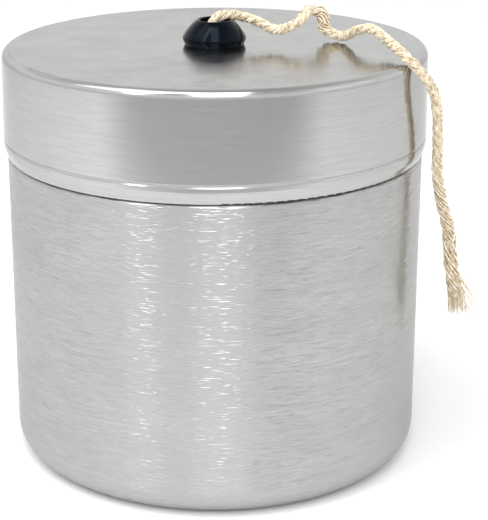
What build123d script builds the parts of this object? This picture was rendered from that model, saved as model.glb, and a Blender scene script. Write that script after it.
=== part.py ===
"""Countertop twine dispenser: a drawn steel canister with a slip-on lid, a rubber
grommet in the lid's centre, and a wound ball of cotton twine that pays out from its
hollow core, through the grommet and over the lid.

Millimetres, +Z up, origin at the centre of the canister's base. The twine hangs
over the lid's edge on the +X side, a little towards -Y.
"""
import os
from math import pi, radians, tan

from build123d import *

# Steelwork
SHEET = 0.5
BODY_RADIUS = 47.0
BASE_FILLET = 6.5
SHOULDER_Z = 70.4
SHOULDER_RISE = 0.5
SHOULDER_FILLET = 0.6
NECK_RADIUS = 46.2
CANISTER_TOP = 93.4
RIM_CURL_RADIUS = 0.5

LID_TOP = 94.5
LID_TOP_RADIUS = 47.5
LID_TOP_FILLET = 1.8
LID_SKIRT_RADIUS = 47.8
LID_GROOVE_TOP = 75.2
LID_GROOVE_Z = 74.85
LID_GROOVE_BOTTOM = 74.45
LID_GROOVE_RADIUS = 47.56
LID_GROOVE_FILLET = 0.25
LID_BAND_RADIUS = 47.76
LID_BAND_TURN = 73.1
LID_BAND_FILLET = 3.0
LID_HEM_EDGE_RADIUS = 47.05
LID_HEM_BOTTOM = 70.9
LID_HEM_RADIUS = 0.32

# Rubber grommet; heights are measured from the lid's top face
GROMMET_NECK_RADIUS = 5.0
GROMMET_FOOT_RADIUS = 6.55
GROMMET_WIDEST_RADIUS = 7.15
GROMMET_WIDEST_HEIGHT = 1.6
GROMMET_WIDEST_FILLET = 0.7
GROMMET_CREST_RADIUS = 3.9
GROMMET_CREST_HEIGHT = 5.5
GROMMET_MOUTH_RADIUS = 3.3
GROMMET_BORE_RADIUS = 2.6
GROMMET_FLARE_HEIGHT = 2.0
GROMMET_FLANGE_RADIUS = 6.4
GROMMET_FLANGE_DEPTH = 1.8
GROMMET_FLANGE_ROUND = 0.8
GROMMET_FOOT_BULGE = (6.95, 0.8)
GROMMET_SLOPE_BULGE = (5.75, 3.75)
GROMMET_LIP_DEPTH = 0.5
GROMMET_LIP_BULGE = (3.44, 5.38)

# Twine
TWINE_DIAMETER = 2.4
JOIN_Z = 92.0
BALL_RADIUS = 40.0
BALL_BOTTOM = 0.8
BALL_TOP = 77.0
BALL_SHOULDER = 12.0
CORE_RADIUS = 11.0
CORE_MOUTH_FILLET = 4.0

# The loose end: up through the grommet, across the lid in waves with one sharp fold
# near the middle, over the lid's edge and down beside the canister.
FREE_END_ROUTE = [
    (0.0, 0.0, JOIN_Z),
    (0.0, 0.0, 95.5),
    (-0.8, 0.6, 99.3),
    (2.4, 1.0, 101.9),
    (5.1, 4.8, 100.3),
    (9.8, 2.3, 99.2),
    (13.5, -2.2, 97.5),
    (17.8, -2.7, 99.1),
    (20.2, 1.6, 100.5),
    (20.9, 5.2, 101.8),
    (24.2, 6.6, 100.1),
    (25.2, 4.2, 97.0),
    (29.0, 0.6, 95.9),
    (31.7, -4.8, 98.5),
    (34.5, -7.0, 99.4),
    (37.4, -12.2, 98.7),
    (39.1, -19.1, 99.4),
    (42.7, -25.7, 97.8),
    (48.0, -22.0, 90.3),
    (48.3, -19.5, 84.2),
    (48.6, -16.7, 76.5),
    (48.7, -16.5, 70.1),
    (49.6, -15.7, 64.1),
    (52.3, -13.8, 55.2),
    (52.8, -15.1, 47.3),
    (54.6, -13.3, 38.6),
]

# The lead: from the ball's hollow core up into the grommet.
LEAD_ROUTE = [
    (8.8, 0.5, 24.0),
    (7.0, 5.5, 32.0),
    (3.4, 4.5, 43.0),
    (3.4, -3.5, 54.0),
    (4.5, -1.5, 66.0),
    (1.5, 0.8, 77.0),
    (0.0, 0.0, 85.0),
    (0.0, 0.0, JOIN_Z),
]


def bend_radii(route):
    """The largest arc that each inner corner's two straight runs have room for."""
    points = [Vector(*point) for point in route]
    radii = []
    for before, corner, after in zip(points, points[1:], points[2:]):
        run_in = corner - before
        run_out = after - corner
        half_turn = radians(run_in.get_angle(run_out)) / 2
        radii.append(0.45 * min(run_in.length, run_out.length) / tan(half_turn))
    return radii


def report_twine(name, tube, path, radii):
    """Print the bends, and the tube's volume beside its section times its length."""
    length = sum(edge.length for edge in path.edges())
    section = pi * TWINE_DIAMETER**2 / 4
    print(name, "bend radii", [round(radius, 1) for radius in radii])
    print(name, "length", round(length, 1), "volume", round(tube.volume, 1))
    print(name, "section times length", round(section * length, 1))


# Canister: base, body wall, stepped-in neck and a rim curled inwards
rim_curl_centre = (NECK_RADIUS - RIM_CURL_RADIUS, CANISTER_TOP - RIM_CURL_RADIUS)
with BuildPart() as canister:
    with BuildSketch(Plane.XZ):
        with BuildLine():
            FilletPolyline(
                (0, 0),
                (BODY_RADIUS, 0),
                (BODY_RADIUS, SHOULDER_Z),
                (NECK_RADIUS, SHOULDER_Z + SHOULDER_RISE),
                (NECK_RADIUS, rim_curl_centre[1]),
                radius=[BASE_FILLET, SHOULDER_FILLET, SHOULDER_FILLET],
            )
            offset(amount=SHEET, side=Side.LEFT)
        make_face()
        with Locations(rim_curl_centre):
            Circle(RIM_CURL_RADIUS)
    revolve(axis=Axis.Z)

# Lid: flat top with the grommet's hole, a skirt that flares very slightly, a shallow
# groove, and a narrow band that closes in to a rolled hem flush with the body
hem_centre = (LID_HEM_EDGE_RADIUS - LID_HEM_RADIUS, LID_HEM_BOTTOM + LID_HEM_RADIUS)
lid_fillets = [LID_BAND_FILLET] + 3 * [LID_GROOVE_FILLET] + [LID_TOP_FILLET]
with BuildPart() as lid:
    with BuildSketch(Plane.XZ):
        with BuildLine():
            FilletPolyline(
                (LID_HEM_EDGE_RADIUS, hem_centre[1]),
                (LID_BAND_RADIUS, LID_BAND_TURN),
                (LID_BAND_RADIUS, LID_GROOVE_BOTTOM),
                (LID_GROOVE_RADIUS, LID_GROOVE_Z),
                (LID_SKIRT_RADIUS, LID_GROOVE_TOP),
                (LID_TOP_RADIUS, LID_TOP),
                (GROMMET_NECK_RADIUS, LID_TOP),
                radius=lid_fillets,
            )
            offset(amount=SHEET, side=Side.LEFT)
        make_face()
        with Locations(hem_centre):
            Circle(LID_HEM_RADIUS)
    revolve(axis=Axis.Z)

# Grommet: a lens-shaped cap above the lid, a neck in the lid's hole and a flange
# below it, with a bore that flares to its mouth
plate_under = LID_TOP - SHEET
flange_bottom = plate_under - GROMMET_FLANGE_DEPTH
flange_flat_radius = GROMMET_FLANGE_RADIUS - GROMMET_FLANGE_ROUND
crest_z = LID_TOP + GROMMET_CREST_HEIGHT
widest_z = LID_TOP + GROMMET_WIDEST_HEIGHT
lip_z = crest_z - GROMMET_LIP_DEPTH
with BuildPart() as grommet:
    with BuildSketch(Plane.XZ) as grommet_profile:
        with BuildLine():
            Polyline(
                (GROMMET_MOUTH_RADIUS, lip_z),
                (GROMMET_BORE_RADIUS, LID_TOP + GROMMET_FLARE_HEIGHT),
                (GROMMET_BORE_RADIUS, flange_bottom),
                (flange_flat_radius, flange_bottom),
            )
            JernArc((flange_flat_radius, flange_bottom), (1, 0), GROMMET_FLANGE_ROUND, 90)
            Polyline(
                (GROMMET_FLANGE_RADIUS, flange_bottom + GROMMET_FLANGE_ROUND),
                (GROMMET_FLANGE_RADIUS, plate_under),
                (GROMMET_NECK_RADIUS, plate_under),
                (GROMMET_NECK_RADIUS, LID_TOP),
                (GROMMET_FOOT_RADIUS, LID_TOP),
            )
            ThreePointArc(
                (GROMMET_FOOT_RADIUS, LID_TOP),
                (GROMMET_FOOT_BULGE[0], LID_TOP + GROMMET_FOOT_BULGE[1]),
                (GROMMET_WIDEST_RADIUS, widest_z),
            )
            ThreePointArc(
                (GROMMET_WIDEST_RADIUS, widest_z),
                (GROMMET_SLOPE_BULGE[0], LID_TOP + GROMMET_SLOPE_BULGE[1]),
                (GROMMET_CREST_RADIUS, crest_z),
            )
            ThreePointArc(
                (GROMMET_CREST_RADIUS, crest_z),
                (GROMMET_LIP_BULGE[0], LID_TOP + GROMMET_LIP_BULGE[1]),
                (GROMMET_MOUTH_RADIUS, lip_z),
            )
        make_face()
        fillet(grommet_profile.vertices().sort_by(Axis.X)[-1], GROMMET_WIDEST_FILLET)
    revolve(axis=Axis.Z)

# Twine ball: a wound cylinder with rounded shoulders and an open core
with BuildPart() as twine_ball:
    with BuildSketch(Plane.XZ):
        with Locations(((CORE_RADIUS + BALL_RADIUS) / 2, (BALL_BOTTOM + BALL_TOP) / 2)):
            wound = Rectangle(BALL_RADIUS - CORE_RADIUS, BALL_TOP - BALL_BOTTOM)
        fillet(wound.vertices().group_by(Axis.X)[-1], BALL_SHOULDER)
        fillet(wound.vertices().group_by(Axis.X)[0], CORE_MOUTH_FILLET)
    revolve(axis=Axis.Z)

# Twine lead, inside
lead_radii = bend_radii(LEAD_ROUTE)
with BuildPart() as twine_lead:
    with BuildLine() as lead_path:
        FilletPolyline(*LEAD_ROUTE, radius=lead_radii)
    with BuildSketch(lead_path.line ^ 0):
        Circle(TWINE_DIAMETER / 2)
    sweep()
report_twine("twine_lead", twine_lead.part, lead_path.line, lead_radii)

# Twine free end, outside
free_end_radii = bend_radii(FREE_END_ROUTE)
with BuildPart() as twine_free_end:
    with BuildLine() as free_end_path:
        FilletPolyline(*FREE_END_ROUTE, radius=free_end_radii)
    with BuildSketch(free_end_path.line ^ 0):
        Circle(TWINE_DIAMETER / 2)
    sweep()
report_twine("twine_free_end", twine_free_end.part, free_end_path.line, free_end_radii)

os.makedirs("parts", exist_ok=True)
sub_parts = {
    "canister": canister,
    "lid": lid,
    "grommet": grommet,
    "twine_ball": twine_ball,
    "twine_lead": twine_lead,
    "twine_free_end": twine_free_end,
}
for node_name, sub_part in sub_parts.items():
    sub_part.part.label = node_name
    export_step(sub_part.part, f"parts/{node_name}.step")
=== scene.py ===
from math import cos, pi, radians, sin

import bpy
import numpy as np
from mathutils import Matrix, Vector


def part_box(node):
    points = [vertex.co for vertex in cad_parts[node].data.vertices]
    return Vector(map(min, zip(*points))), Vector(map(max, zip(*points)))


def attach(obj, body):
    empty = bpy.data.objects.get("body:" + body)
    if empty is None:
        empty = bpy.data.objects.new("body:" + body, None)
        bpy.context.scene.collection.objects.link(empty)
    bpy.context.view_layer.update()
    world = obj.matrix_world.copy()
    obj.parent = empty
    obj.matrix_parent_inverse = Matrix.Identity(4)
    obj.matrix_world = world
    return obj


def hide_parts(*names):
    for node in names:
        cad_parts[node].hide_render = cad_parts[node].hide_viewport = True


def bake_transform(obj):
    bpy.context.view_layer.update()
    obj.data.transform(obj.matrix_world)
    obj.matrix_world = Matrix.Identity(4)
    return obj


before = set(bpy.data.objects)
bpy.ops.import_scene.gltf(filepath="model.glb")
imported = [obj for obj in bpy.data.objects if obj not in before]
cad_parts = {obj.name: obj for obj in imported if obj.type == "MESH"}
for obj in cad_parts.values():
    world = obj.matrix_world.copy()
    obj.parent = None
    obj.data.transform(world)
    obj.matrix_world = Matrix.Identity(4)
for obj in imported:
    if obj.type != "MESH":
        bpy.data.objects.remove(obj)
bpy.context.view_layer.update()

MM = 0.001
SCENE = bpy.context.scene

# ------------------------------------------------------------------ camera
EYE_DISTANCE = 0.3640
EYE_HEIGHT = 0.16694
PAN = -0.016
TILT_DOWN = 0.32733
ROLL = -0.00768
LENS = 113.70
SHIFT = 0.1038


def make_camera():
    data = bpy.data.cameras.new("camera")
    data.lens = LENS
    data.sensor_width = 36.0
    data.shift_x = SHIFT
    data.clip_start = 0.01
    data.clip_end = 20.0
    camera = bpy.data.objects.new("camera", data)
    SCENE.collection.objects.link(camera)
    place = Matrix.Translation((0.0, -EYE_DISTANCE, EYE_HEIGHT))
    turn = Matrix.Rotation(-PAN, 4, "Z") @ Matrix.Rotation(pi / 2 - TILT_DOWN, 4, "X")
    camera.matrix_world = place @ turn @ Matrix.Rotation(ROLL, 4, "Z")
    SCENE.camera = camera


# ------------------------------------------------------------------ lines in space
def smooth_line(points, step):
    """Points every step metres along the NURBS curve that has these control points."""
    curve = bpy.data.curves.new("route", "CURVE")
    curve.dimensions = "3D"
    curve.resolution_u = 24
    spline = curve.splines.new("NURBS")
    spline.points.add(len(points) - 1)
    for place, point in zip(spline.points, points):
        place.co = (*point, 1.0)
    spline.order_u = 3
    spline.use_endpoint_u = True
    carrier = bpy.data.objects.new("route", curve)
    SCENE.collection.objects.link(carrier)
    bpy.context.view_layer.update()
    evaluated = carrier.evaluated_get(bpy.context.evaluated_depsgraph_get())
    mesh = bpy.data.meshes.new_from_object(evaluated)
    line = np.array([v.co for v in mesh.vertices], float)
    bpy.data.meshes.remove(mesh)
    bpy.data.objects.remove(carrier)
    bpy.data.curves.remove(curve)
    return evenly_spaced(line, step)


def along(line):
    """The distance from the line's start to each of its points."""
    steps = np.linalg.norm(np.diff(line, axis=0), axis=1)
    return np.concatenate([[0.0], np.cumsum(steps)])


def evenly_spaced(line, step):
    distance = along(line)
    wanted = np.linspace(0.0, distance[-1], max(2, int(round(distance[-1] / step)) + 1))
    return np.stack([np.interp(wanted, distance, line[:, axis]) for axis in range(3)], 1)


def unit(vectors):
    return vectors / np.linalg.norm(vectors, axis=-1, keepdims=True)


def directions(line):
    return unit(np.gradient(line, axis=0))


def carried_frame(line):
    """Tangent, side and up at each point, carried along the line without twisting."""
    tangent = directions(line)
    side = np.zeros_like(tangent)
    start = np.array([0.0, 1.0, 0.0]) if abs(tangent[0][1]) < 0.9 else np.array([1.0, 0.0, 0.0])
    side[0] = unit(start - tangent[0] * (start @ tangent[0]))
    for i in range(1, len(line)):
        carried = side[i - 1] - tangent[i] * (side[i - 1] @ tangent[i])
        side[i] = unit(carried)
    return tangent, side, np.cross(tangent, side)


# ------------------------------------------------------------------ meshes
class MeshParts:
    """Gathers rings and tubes into one mesh."""

    def __init__(self):
        self.points = []
        self.faces = []
        self.count = 0

    def tube(self, line, radius, sides):
        """A closed tube. radius is one number per point, or per point and side."""
        _, side, up = carried_frame(line)
        turn = np.arange(sides) * 2 * pi / sides
        ring = np.cos(turn)[None, :, None] * side[:, None, :] + np.sin(turn)[None, :, None] * up[:, None, :]
        reach = radius[:, None] if radius.ndim == 1 else radius
        self.rings(line[:, None, :] + ring * reach[:, :, None])

    def rings(self, rings):
        """Joins a (rings, sides, 3) array into a tube with closed ends."""
        count, sides = rings.shape[:2]
        first = self.count
        self.points.append(rings.reshape(-1, 3))
        base = first + np.arange(count - 1)[:, None] * sides
        here = np.arange(sides)[None, :]
        there = (here + 1) % sides
        quads = np.stack([base + here, base + there, base + sides + there, base + sides + here], -1)
        self.faces.extend(quads.reshape(-1, 4).tolist())
        self.faces.append(list(range(first + sides - 1, first - 1, -1)))
        last = first + (count - 1) * sides
        self.faces.append(list(range(last, last + sides)))
        self.count += count * sides

    def revolved(self, outline, sides):
        """A closed (radius, height) outline turned about Z."""
        outline = np.asarray(outline, float)
        first = self.count
        turn = np.arange(sides) * 2 * pi / sides
        radius = outline[None, :, 0]
        points = np.stack(
            [
                radius * np.cos(turn)[:, None],
                radius * np.sin(turn)[:, None],
                np.broadcast_to(outline[None, :, 1], (sides, len(outline))),
            ],
            -1,
        )
        self.points.append(points.reshape(-1, 3))
        size = len(outline)
        here = np.arange(sides)[:, None] * size
        there = ((np.arange(sides) + 1) % sides)[:, None] * size
        a = np.arange(size)[None, :]
        b = (a + 1) % size
        quads = np.stack([here + a, there + a, there + b, here + b], -1)
        self.faces.extend(quads.reshape(-1, 4).tolist())
        self.count += sides * size

    def build(self, name, material, body):
        mesh = bpy.data.meshes.new(name)
        mesh.from_pydata(np.concatenate(self.points).tolist(), [], self.faces)
        mesh.polygons.foreach_set("use_smooth", [True] * len(mesh.polygons))
        mesh.materials.append(material)
        mesh.update()
        piece = bpy.data.objects.new(name, mesh)
        SCENE.collection.objects.link(piece)
        if body:
            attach(piece, body)
        return piece


# ------------------------------------------------------------------ twine
TWINE_DIAMETER = 2.4 * MM
PLIES = 4
YARNS_PER_PLY = 4
PLY_OFFSET = 0.62 * MM
YARN_OFFSET = 0.34 * MM
YARN_RADIUS = 0.25 * MM
PLY_LAY = 11.0 * MM
YARN_LAY = 14.0 * MM
TWINE_STEP = 0.30 * MM
LEAD_STEP = 0.50 * MM
YARN_SIDES = 8
FREE_END_START_TURN = 0.4
FREE_END_SEED = 11
LEAD_SEED = 5

# Small waves, each a size and a length, keep the plies and yarns from being all alike.
PLY_WANDER = (0.10, 9.0 * MM)
PLY_WANDER_PHASE = 1.7
PLY_RIPPLE = (0.06, 5.0 * MM)
PLY_RIPPLE_PHASE = 2.3
YARN_PHASE = 0.8
YARN_SWELLS = [(0.07, 1.9 * MM), (0.05, 0.8 * MM)]

# Where the twine is fully loose, its twist, ply offset, yarn offset and yarn radius change by
# these shares, and each yarn stops short of the end by at most this many steps.
LOOSE_UNTWIST = 0.5
LOOSE_PLY_SPREAD = 0.7
LOOSE_YARN_SPREAD = 0.5
LOOSE_YARN_THINNING = 0.25
LOOSE_END_STEPS = 9.0

# It loosens towards its cut end, and opens a little at the fold on the lid.
LOOSE_LENGTH = 45.0 * MM
FOLD_DISTANCE = 43.0 * MM
FOLD_REACH = 5.0 * MM
FOLD_SLACK = 0.9

# A pair of values here is the lowest and the highest random value.
FRAY_SEED = 23
FRAY_FIBRES = 110
FRAY_LENGTH = 14.0 * MM
FRAY_START = (0.3, 0.95)
FRAY_ROOT_REACH = (0.75 * MM, 1.15 * MM)
FRAY_TIP_REACH = (0.4 * MM, 2.0 * MM)
FRAY_ENDS_PAST = (0.6 * MM, 4.0 * MM)
FRAY_BEND = (-0.5 * MM, 0.5 * MM)
FRAY_SWIRL_TURN = 1.5
FRAY_THICKNESS = (0.8, 1.25)
SPLAYED_FIBRES = 34
SPLAY_START = (3.5 * MM, 8.0 * MM)
SPLAY_ROOT = [(0.4 * MM, 1.1 * MM), (-0.9 * MM, 0.7 * MM)]
SPLAY_THROW = [(1.6 * MM, 5.2 * MM), (-1.6 * MM, 1.6 * MM), (-9.5 * MM, -6.8 * MM)]
SPLAY_LIFT = 0.35
SPLAY_SAG = [(-0.7 * MM, 0.4 * MM), (-0.6 * MM, 0.6 * MM)]
SPLAY_THICKNESS = (0.8, 1.2)
FIBRE_RADIUS = 0.085 * MM
FIBRE_POINTS = 15
FIBRE_SIDES = 5
FRAY_TAPER = 0.45
SPLAY_TAPER = 0.4

# The control points of the loose end and of the lead inside the canister.
FREE_END_ROUTE = [
    (0.0, 0.0, 0.092),
    (0.0, 0.0, 0.0955),
    (-0.0008, 0.0006, 0.0993),
    (0.0021, 0.0008, 0.1011),
    (0.0051, 0.0048, 0.1001),
    (0.0097, 0.0022, 0.0992),
    (0.0135, -0.0022, 0.0975),
    (0.0178, -0.0027, 0.0991),
    (0.0202, 0.0016, 0.1005),
    (0.0212, 0.0055, 0.1013),
    (0.0249, 0.0058, 0.1004),
    (0.0246, 0.0046, 0.0966),
    (0.029, 0.0006, 0.0954),
    (0.0317, -0.0048, 0.0985),
    (0.0345, -0.007, 0.0993),
    (0.0373, -0.0122, 0.0975),
    (0.039, -0.0191, 0.0968),
    (0.0408, -0.0245, 0.0957),
    (0.0462, -0.0216, 0.0899),
    (0.0478, -0.0195, 0.0844),
    (0.0486, -0.0167, 0.0765),
    (0.0486, -0.0165, 0.0701),
    (0.0495, -0.0157, 0.0641),
    (0.0523, -0.0138, 0.0552),
    (0.0528, -0.0151, 0.0473),
    (0.0546, -0.0133, 0.0386),
]
LEAD_ROUTE = [
    (0.0088, 0.0005, 0.024),
    (0.007, 0.0055, 0.032),
    (0.0034, 0.0045, 0.043),
    (0.0034, -0.0035, 0.054),
    (0.0045, -0.0015, 0.066),
    (0.0015, 0.0008, 0.077),
    (0.0, 0.0, 0.085),
    (0.0, 0.0, 0.092),
]


def smooth_step(value):
    value = np.clip(value, 0.0, 1.0)
    return value * value * (3.0 - 2.0 * value)


def ripple(distance, wave, phase):
    size, length = wave
    return size * np.sin(distance / length + phase)


def add_yarns(parts, line, rng, loosen=None, start_turn=0.0):
    """Lays the twine's plies, each of a few yarns, round the line with a left-handed
    twist. loosen, one value from 0 to 1 per point, opens and untwists them."""
    _, side, up = carried_frame(line)
    distance = along(line)
    loosen = np.zeros(len(line)) if loosen is None else loosen
    twist_kept = np.diff(distance) * (1 - LOOSE_UNTWIST * loosen[1:])
    twisted = np.concatenate([[0.0], np.cumsum(twist_kept)])
    for ply in range(PLIES):
        wander = ripple(distance, PLY_WANDER, PLY_WANDER_PHASE * ply + rng.uniform(0, 2 * pi))
        turn = start_turn + 2 * pi * ply / PLIES - 2 * pi * twisted / PLY_LAY + wander
        out = np.cos(turn)[:, None] * side + np.sin(turn)[:, None] * up
        reach = PLY_OFFSET * (1 + ripple(distance, PLY_RIPPLE, PLY_RIPPLE_PHASE * ply))
        ply_line = line + out * (reach * (1 + LOOSE_PLY_SPREAD * loosen))[:, None]
        ply_along = directions(ply_line)
        ply_side = unit(out - ply_along * np.sum(out * ply_along, 1, keepdims=True))
        ply_up = np.cross(ply_along, ply_side)
        for yarn in range(YARNS_PER_PLY):
            spin = 2 * pi * yarn / YARNS_PER_PLY - 2 * pi * twisted / YARN_LAY + YARN_PHASE * ply
            away = np.cos(spin)[:, None] * ply_side + np.sin(spin)[:, None] * ply_up
            swell = 1 + sum(ripple(distance, wave, rng.uniform(0, 2 * pi)) for wave in YARN_SWELLS)
            apart = YARN_OFFSET * (1 + LOOSE_YARN_SPREAD * loosen)
            yarn_line = ply_line + away * apart[:, None]
            keep = len(line) - int(rng.uniform(0.0, LOOSE_END_STEPS) * loosen[-1])
            radius = YARN_RADIUS * swell * (1 - LOOSE_YARN_THINNING * loosen)
            parts.tube(yarn_line[:keep], radius[:keep], YARN_SIDES)


def add_hanging_fibre(parts, line, side, up, rng):
    """A fibre that starts among the yarns and hangs past the cut end with the others."""
    distance = along(line)
    start = distance[-1] - rng.uniform(*FRAY_START) * FRAY_LENGTH
    turn = rng.uniform(0, 2 * pi)
    away = cos(turn) * side + sin(turn) * up
    swirl = cos(turn + FRAY_SWIRL_TURN) * side + sin(turn + FRAY_SWIRL_TURN) * up
    near, far = rng.uniform(*FRAY_ROOT_REACH), rng.uniform(*FRAY_TIP_REACH)
    ends_past = rng.uniform(*FRAY_ENDS_PAST)
    bend = rng.uniform(*FRAY_BEND)
    t = np.linspace(0.0, 1.0, FIBRE_POINTS)[:, None]
    wanted = (start + (distance[-1] - start) * t).ravel()
    fibre = np.stack([np.interp(wanted, distance, line[:, axis]) for axis in range(3)], 1)
    fibre += away * (near + (far - near) * t**2) + swirl * bend * np.sin(pi * t)
    fibre[:, 2] -= ends_past * t.ravel() ** 2
    radius = FIBRE_RADIUS * (1 - FRAY_TAPER * t.ravel())
    parts.tube(fibre, radius * rng.uniform(*FRAY_THICKNESS), FIBRE_SIDES)


def add_splayed_fibre(parts, line, rng):
    """A fibre thrown out to the right of the others."""
    distance = along(line)
    start = distance[-1] - rng.uniform(*SPLAY_START)
    root = np.array([np.interp(start, distance, line[:, axis]) for axis in range(3)])
    root[:2] += [rng.uniform(*span) for span in SPLAY_ROOT]
    throw = np.array([rng.uniform(*span) for span in SPLAY_THROW])
    throw[2] += SPLAY_LIFT * throw[0]
    sag = np.array([rng.uniform(*span) for span in SPLAY_SAG] + [0.0])
    t = np.linspace(0.0, 1.0, FIBRE_POINTS)[:, None]
    radius = FIBRE_RADIUS * (1 - SPLAY_TAPER * t.ravel())
    fibre = root + t * throw + np.sin(pi * t) * sag
    parts.tube(fibre, radius * rng.uniform(*SPLAY_THICKNESS), FIBRE_SIDES)


def make_fray(line, material):
    """The loose fibres at the twine's cut end: most hang together, some splay out."""
    rng = np.random.default_rng(FRAY_SEED)
    _, side, up = carried_frame(line)
    parts = MeshParts()
    for _ in range(FRAY_FIBRES):
        add_hanging_fibre(parts, line, side[-1], up[-1], rng)
    for _ in range(SPLAYED_FIBRES):
        add_splayed_fibre(parts, line, rng)
    piece = parts.build("twine_frayed_tip", material, "lid")
    return piece


def make_free_end(material):
    line = smooth_line(FREE_END_ROUTE, TWINE_STEP)
    distance = along(line)
    loosen = smooth_step((distance - distance[-1] + LOOSE_LENGTH) / LOOSE_LENGTH)
    slack = FOLD_SLACK * smooth_step(1.0 - np.abs(distance - FOLD_DISTANCE) / FOLD_REACH)
    rng = np.random.default_rng(FREE_END_SEED)
    parts = MeshParts()
    add_yarns(parts, line, rng, np.maximum(loosen, slack), FREE_END_START_TURN)
    piece = parts.build("twine_free_end_yarns", material, "lid")
    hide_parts("twine_free_end")
    fray = make_fray(line, material)


def make_lead(material):
    """The twine inside the canister, from the ball's core up to the grommet."""
    line = smooth_line(LEAD_ROUTE, LEAD_STEP)
    parts = MeshParts()
    add_yarns(parts, line, np.random.default_rng(LEAD_SEED))
    piece = parts.build("twine_lead_yarns", material, None)
    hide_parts("twine_lead")
    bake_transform(piece)


# ------------------------------------------------------------------ ball of twine
BALL_SEED = 31
BALL_CORE_RADIUS = 12.4 * MM
BALL_SQUARENESS = 2 / 3
FILLING_INSET = 0.9 * MM
FILLING_POINTS = 25
FILLING_SIDES = 96
WINDINGS = 64
GOLDEN_SHARE = 0.381966
WINDING_TURN = 2 * pi * GOLDEN_SHARE
WINDING_TURN_SPREAD = 0.02
WINDING_TILT = radians(81.0)
WINDING_TILT_SPREAD = (-0.035, 0.012)
WINDING_SUNK = (0.0, 0.9 * MM)
WINDING_POINTS = 181
WINDING_STEP = 2.3 * MM
WINDING_SIDES = 12
LOBE_DEPTH = 0.10
COIL_PITCH = 2.5 * MM
COIL_MARGIN = 7.0 * MM
COIL_POINTS_PER_TURN = 40


def add_laid_line(parts, line, radius):
    """A strand with the lobes of its plies twisting round it."""
    turn = np.arange(WINDING_SIDES) * 2 * pi / WINDING_SIDES
    lobes = PLIES * (turn[None, :] + 2 * pi * along(line)[:, None] / PLY_LAY)
    reach = radius * (1 - LOBE_DEPTH + LOBE_DEPTH * np.cos(lobes))
    parts.tube(line, reach, WINDING_SIDES)


def on_ball(half_width, half_height, angle):
    """The radius, and the height over the ball's middle, at an angle of its rounded outline."""
    radius = half_width * np.maximum(np.cos(angle), 0.0) ** BALL_SQUARENESS
    height = half_height * np.abs(np.sin(angle)) ** BALL_SQUARENESS * np.sign(np.sin(angle))
    return radius, height


def add_filling(parts, half_width, half_height, middle):
    """What shows between the windings: the ball's body, with its hollow core."""
    outline = []
    for angle in np.linspace(-pi / 2, pi / 2, FILLING_POINTS):
        radius, height = on_ball(half_width - FILLING_INSET, half_height - FILLING_INSET, angle)
        if radius > BALL_CORE_RADIUS:
            outline.append((radius, middle + height))
    outline.append((BALL_CORE_RADIUS, outline[-1][1]))
    outline.append((BALL_CORE_RADIUS, outline[0][1]))
    parts.revolved(outline, FILLING_SIDES)


def add_winding(parts, number, half_width, half_height, middle, rng):
    """One loop of twine laid steeply round the ball."""
    start = WINDING_TURN * number + rng.uniform(-WINDING_TURN_SPREAD, WINDING_TURN_SPREAD)
    tilt = WINDING_TILT + rng.uniform(*WINDING_TILT_SPREAD)
    sunk = rng.uniform(*WINDING_SUNK)
    turn = np.linspace(0.0, 2 * pi, WINDING_POINTS)
    rise = np.arcsin(np.sin(tilt) * np.sin(turn))
    bearing = start + np.arctan2(np.cos(tilt) * np.sin(turn), np.cos(turn))
    radius, height = on_ball(half_width - sunk, half_height - sunk, rise)
    loop = np.stack([radius * np.cos(bearing), radius * np.sin(bearing), middle + height], 1)
    add_laid_line(parts, evenly_spaced(loop, WINDING_STEP), TWINE_DIAMETER / 2)


def add_coil(parts, low, high):
    """The turns of twine that line the hollow core."""
    turns = (high - low) / COIL_PITCH
    turn = np.linspace(0.0, 2 * pi * turns, int(turns * COIL_POINTS_PER_TURN))
    height = low + turn / (2 * pi) * COIL_PITCH
    coil = np.stack([BALL_CORE_RADIUS * np.cos(turn), BALL_CORE_RADIUS * np.sin(turn), height], 1)
    add_laid_line(parts, evenly_spaced(coil, WINDING_STEP), TWINE_DIAMETER / 2)


def make_ball(material):
    low, high = (np.array(corner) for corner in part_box("twine_ball"))
    middle = (low[2] + high[2]) / 2
    half_width = (high[0] - low[0] - TWINE_DIAMETER) / 2
    half_height = (high[2] - low[2] - TWINE_DIAMETER) / 2
    rng = np.random.default_rng(BALL_SEED)
    parts = MeshParts()
    add_filling(parts, half_width, half_height, middle)
    for number in range(WINDINGS):
        add_winding(parts, number, half_width, half_height, middle, rng)
    add_coil(parts, low[2] + COIL_MARGIN, high[2] - COIL_MARGIN)
    piece = parts.build("twine_ball_windings", material, "ball")
    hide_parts("twine_ball")


# ------------------------------------------------------------------ materials
STEEL_EDGE_TINT = 0.8
BRUSH_LINES = (130.0, 130.0, 4600.0)
BRUSH_LINES_SHARE = 0.8
CLOUD_SCALE = 30.0
CLOUD_STRETCH = (1.0, 1.0, 3.0)
SCRATCH_ROWS = 6200.0
SCRATCH_ROW_JUMP = 7.31
SCRATCH_ALONG = 300.0
SCRATCH_START = 0.53
SCRATCH_FULL = 0.72
UNSTRETCHED = (1.0, 1.0, 1.0)
COTTON_GRAIN = 1300.0
COTTON_STRETCH = (1.0, 1.0, 0.5)
COTTON_SHADES = [(0.30, (0.47, 0.36, 0.23)), (0.48, (0.73, 0.62, 0.45)), (0.68, (0.94, 0.87, 0.73))]
RUBBER_SHADES = [(0.35, (0.0008, 0.001, 0.002)), (0.65, (0.0016, 0.002, 0.004))]
RUBBER_SHEEN_TINT = (0.52, 0.72, 1.0)


def new_material(name):
    material = bpy.data.materials.new(name)
    material.use_nodes = True
    tree = material.node_tree
    return material, tree, tree.nodes["Principled BSDF"]


def link(tree, output, socket):
    tree.links.new(output, socket)


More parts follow.
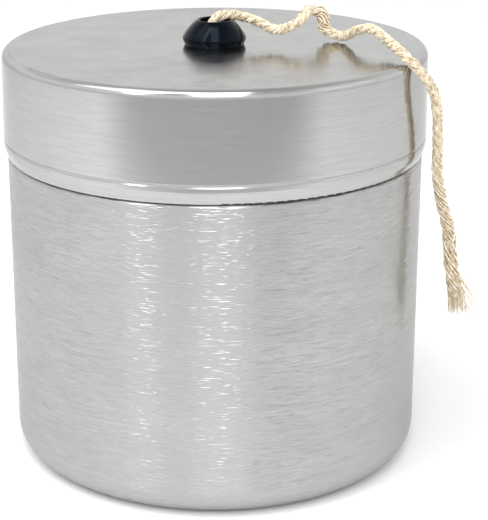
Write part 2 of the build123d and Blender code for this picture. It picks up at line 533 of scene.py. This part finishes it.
def stretched_noise(tree, scale, stretch, detail, roughness):
    """Noise in the object's own space, squeezed or stretched along each axis."""
    place = tree.nodes.new("ShaderNodeTexCoord")
    mapping = tree.nodes.new("ShaderNodeMapping")
    mapping.inputs["Scale"].default_value = stretch
    noise = tree.nodes.new("ShaderNodeTexNoise")
    noise.inputs["Scale"].default_value = scale
    noise.inputs["Detail"].default_value = detail
    noise.inputs["Roughness"].default_value = roughness
    link(tree, place.outputs["Object"], mapping.inputs["Vector"])
    link(tree, mapping.outputs["Vector"], noise.inputs["Vector"])
    return noise.outputs["Fac"]


def ramp(tree, factor, stops):
    node = tree.nodes.new("ShaderNodeValToRGB")
    elements = node.color_ramp.elements
    while len(elements) < len(stops):
        elements.new(0.5)
    for element, (position, colour) in zip(elements, stops):
        element.position = position
        element.color = (*colour, 1.0)
    link(tree, factor, node.inputs["Fac"])
    return node.outputs["Color"]


def bump(tree, shader, height, strength, distance):
    node = tree.nodes.new("ShaderNodeBump")
    node.inputs["Strength"].default_value = strength
    node.inputs["Distance"].default_value = distance
    link(tree, height, node.inputs["Height"])
    link(tree, node.outputs["Normal"], shader.inputs["Normal"])


def flat(value):
    return (value, value, value)


def steel_grey(value):
    """A grey that is very slightly warm."""
    return (value, value, value * 0.985)


def math_node(tree, operation, first, second):
    node = tree.nodes.new("ShaderNodeMath")
    node.operation = operation
    for socket, value in zip(node.inputs, (first, second)):
        if isinstance(value, (int, float)):
            socket.default_value = value
        else:
            link(tree, value, socket)
    return node.outputs["Value"]


def scratch_facets(tree):
    """The height of short level scratches in fine rows, each a facet that leans back."""
    place = tree.nodes.new("ShaderNodeTexCoord")
    split = tree.nodes.new("ShaderNodeSeparateXYZ")
    joined = tree.nodes.new("ShaderNodeCombineXYZ")
    noise = tree.nodes.new("ShaderNodeTexNoise")
    noise.inputs["Scale"].default_value = 1.0
    noise.inputs["Detail"].default_value = 1.0
    link(tree, place.outputs["Object"], split.inputs["Vector"])
    rows = math_node(tree, "MULTIPLY", split.outputs["Z"], SCRATCH_ROWS)
    row = math_node(tree, "FLOOR", rows, 0.0)
    link(tree, math_node(tree, "MULTIPLY", split.outputs["X"], SCRATCH_ALONG), joined.inputs["X"])
    link(tree, math_node(tree, "MULTIPLY", split.outputs["Y"], SCRATCH_ALONG), joined.inputs["Y"])
    link(tree, math_node(tree, "MULTIPLY", row, SCRATCH_ROW_JUMP), joined.inputs["Z"])
    link(tree, joined.outputs["Vector"], noise.inputs["Vector"])
    there = ramp(tree, noise.outputs["Fac"], [(SCRATCH_START, flat(0.0)), (SCRATCH_FULL, flat(1.0))])
    lean = math_node(tree, "SUBTRACT", 1.0, math_node(tree, "FRACT", rows, 0.0))
    return math_node(tree, "MULTIPLY", there, lean)


def brushed_steel(name, tone, contrast, roughness, anisotropy, depth, facet_depth):
    """Steel brushed round the axis: long faint lines and, where facet_depth isn't 0, short
    deeper scratches."""
    material, tree, shader = new_material(name)
    shader.inputs["Metallic"].default_value = 1.0
    shader.inputs["Anisotropic"].default_value = anisotropy
    shader.inputs["Anisotropic Rotation"].default_value = 0.25
    shader.inputs["Specular Tint"].default_value = (*flat(STEEL_EDGE_TINT), 1.0)
    tangent = tree.nodes.new("ShaderNodeTangent")
    tangent.direction_type = "RADIAL"
    tangent.axis = "Z"
    link(tree, tangent.outputs["Tangent"], shader.inputs["Tangent"])
    lines = stretched_noise(tree, 1.0, BRUSH_LINES, detail=3.0, roughness=0.65)
    cloud = stretched_noise(tree, CLOUD_SCALE, CLOUD_STRETCH, detail=2.0, roughness=0.5)
    lines_part = math_node(tree, "MULTIPLY", lines, BRUSH_LINES_SHARE)
    cloud_part = math_node(tree, "MULTIPLY", cloud, 1 - BRUSH_LINES_SHARE)
    mixed = math_node(tree, "ADD", lines_part, cloud_part)
    low, high = steel_grey(tone * (1 - contrast)), steel_grey(tone * (1 + contrast))
    colour = ramp(tree, mixed, [(0.34, low), (0.5, steel_grey(tone)), (0.66, high)])
    link(tree, colour, shader.inputs["Base Color"])
    rough = ramp(tree, mixed, [(0.35, flat(roughness * 1.2)), (0.65, flat(roughness * 0.8))])
    link(tree, rough, shader.inputs["Roughness"])
    height = math_node(tree, "MULTIPLY", lines, depth)
    if facet_depth:
        facets = scratch_facets(tree)
        height = math_node(tree, "ADD", height, math_node(tree, "MULTIPLY", facets, facet_depth))
    bump(tree, shader, height, strength=1.0, distance=0.1 * MM)
    return material


def cotton(name):
    material, tree, shader = new_material(name)
    tone = stretched_noise(tree, COTTON_GRAIN, COTTON_STRETCH, detail=3.0, roughness=0.6)
    link(tree, ramp(tree, tone, COTTON_SHADES), shader.inputs["Base Color"])
    shader.inputs["Roughness"].default_value = 0.85
    shader.inputs["Sheen Weight"].default_value = 0.05
    shader.inputs["Sheen Roughness"].default_value = 0.5
    fibres = stretched_noise(tree, 6000.0, UNSTRETCHED, detail=2.0, roughness=0.6)
    bump(tree, shader, fibres, strength=0.5, distance=0.05 * MM)
    return material


def black_rubber(name):
    material, tree, shader = new_material(name)
    tone = stretched_noise(tree, 900.0, UNSTRETCHED, detail=3.0, roughness=0.6)
    link(tree, ramp(tree, tone, RUBBER_SHADES), shader.inputs["Base Color"])
    rough = ramp(tree, tone, [(0.3, flat(0.15)), (0.7, flat(0.2))])
    link(tree, rough, shader.inputs["Roughness"])
    shader.inputs["Specular IOR Level"].default_value = 0.13
    shader.inputs["Specular Tint"].default_value = (*RUBBER_SHEEN_TINT, 1.0)
    grain = stretched_noise(tree, 4000.0, UNSTRETCHED, detail=2.0, roughness=0.5)
    bump(tree, shader, grain, strength=0.12, distance=0.03 * MM)
    return material


def dress(node, material):
    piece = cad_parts[node]
    piece.data.materials.clear()
    piece.data.materials.append(material)


# ------------------------------------------------------------------ stage
FLOOR_HALF_WIDTH = 1.6
FLOOR_TONE = 0.95
# The grey pool on the floor is painted shade: a darker patch of the paper that stands in for the shade in
# front of the object.
PAINTED_SHADE_TONE = 0.46
PAINTED_SHADE_CENTRE = (-0.02, -0.62, 0.0)
PAINTED_SHADE_SIZE = (0.70, 0.46, 1.0)
PAINTED_SHADE_CORE = 0.72
WORLD_STRENGTH = 1.22
WORLD_LOW = 0.78
WORLD_BRIGHTEST_AT = 0.36
WORLD_HIGH = 0.46
LIGHT_TARGET = (0.0, 0.0, 0.05)


def make_floor():
    """White paper with a grey pool of painted shade in front of the object, outside the camera's view,
    that the steel reflects as the darker part of its walls."""
    material, tree, shader = new_material("floor_paper")
    shader.inputs["Roughness"].default_value = 0.9
    place = tree.nodes.new("ShaderNodeTexCoord")
    mapping = tree.nodes.new("ShaderNodeMapping")
    mapping.vector_type = "TEXTURE"
    mapping.inputs["Location"].default_value = PAINTED_SHADE_CENTRE
    mapping.inputs["Scale"].default_value = PAINTED_SHADE_SIZE
    distance = tree.nodes.new("ShaderNodeVectorMath")
    distance.operation = "LENGTH"
    link(tree, place.outputs["Object"], mapping.inputs["Vector"])
    link(tree, mapping.outputs["Vector"], distance.inputs[0])
    # Painted shade: grey in the pool's core, fading out to the white paper.
    stops = [(0.0, flat(PAINTED_SHADE_TONE)), (PAINTED_SHADE_CORE, flat(PAINTED_SHADE_TONE)), (1.0, flat(FLOOR_TONE))]
    colour = ramp(tree, distance.outputs["Value"], stops)
    link(tree, colour, shader.inputs["Base Color"])
    half = FLOOR_HALF_WIDTH
    corners = [(-half, -half, 0.0), (half, -half, 0.0), (half, half, 0.0), (-half, half, 0.0)]
    mesh = bpy.data.meshes.new("floor")
    mesh.from_pydata(corners, [], [(0, 1, 2, 3)])
    mesh.materials.append(material)
    floor = bpy.data.objects.new("floor", mesh)
    SCENE.collection.objects.link(floor)


def make_world():
    """White light from all round, brightest some 20 degrees up and weakest overhead."""
    world = bpy.data.worlds.new("studio")
    SCENE.world = world
    world.use_nodes = True
    tree = world.node_tree
    background = tree.nodes["Background"]
    place = tree.nodes.new("ShaderNodeTexCoord")
    split = tree.nodes.new("ShaderNodeSeparateXYZ")
    link(tree, place.outputs["Generated"], split.inputs["Vector"])
    stops = [(0.0, flat(WORLD_LOW)), (WORLD_BRIGHTEST_AT, flat(1.0)), (1.0, flat(WORLD_HIGH))]
    level = ramp(tree, split.outputs["Z"], stops)
    link(tree, level, background.inputs["Color"])
    background.inputs["Strength"].default_value = WORLD_STRENGTH


def soft_light(name, azimuth, elevation, distance, width, height, power):
    """A softbox aimed at the object. Azimuth 0 is the camera's side, positive to the right."""
    turn, lift = radians(azimuth), radians(elevation)
    way = Vector((sin(turn) * cos(lift), -cos(turn) * cos(lift), sin(lift)))
    data = bpy.data.lights.new(name, "AREA")
    data.shape = "RECTANGLE"
    data.size = width
    data.size_y = height
    data.energy = power
    lamp = bpy.data.objects.new(name, data)
    SCENE.collection.objects.link(lamp)
    lamp.location = Vector(LIGHT_TARGET) + way * distance
    lamp.rotation_mode = "QUATERNION"
    lamp.rotation_quaternion = (-way).to_track_quat("-Z", "Y")


# ------------------------------------------------------------------ the whole scene
SCENE.view_settings.view_transform = "Standard"
make_camera()
twine_material = cotton("cotton_twine")
make_free_end(twine_material)
make_lead(twine_material)
make_ball(twine_material)

canister_steel = brushed_steel(
    "canister_brushed_steel",
    tone=0.45,
    contrast=0.06,
    roughness=0.32,
    anisotropy=0.94,
    depth=0.10,
    facet_depth=1.0,
)
lid_steel = brushed_steel(
    "lid_satin_steel",
    tone=0.46,
    contrast=0.09,
    roughness=0.165,
    anisotropy=0.5,
    depth=0.07,
    facet_depth=0.0,
)
dress("canister", canister_steel)
dress("lid", lid_steel)
dress("grommet", black_rubber("grommet_rubber"))

make_floor()
make_world()
soft_light("front_softbox", 2.5, 55.0, 0.75, 0.29, 0.75, 2.6)
soft_light("left_strip", -44.0, 52.0, 0.75, 0.09, 0.75, 1.3)
soft_light("left_fill", -72.0, 58.0, 0.9, 0.5, 0.6, 1.5)
soft_light("right_fill", 80.0, 40.0, 1.0, 0.6, 0.5, 0.3)
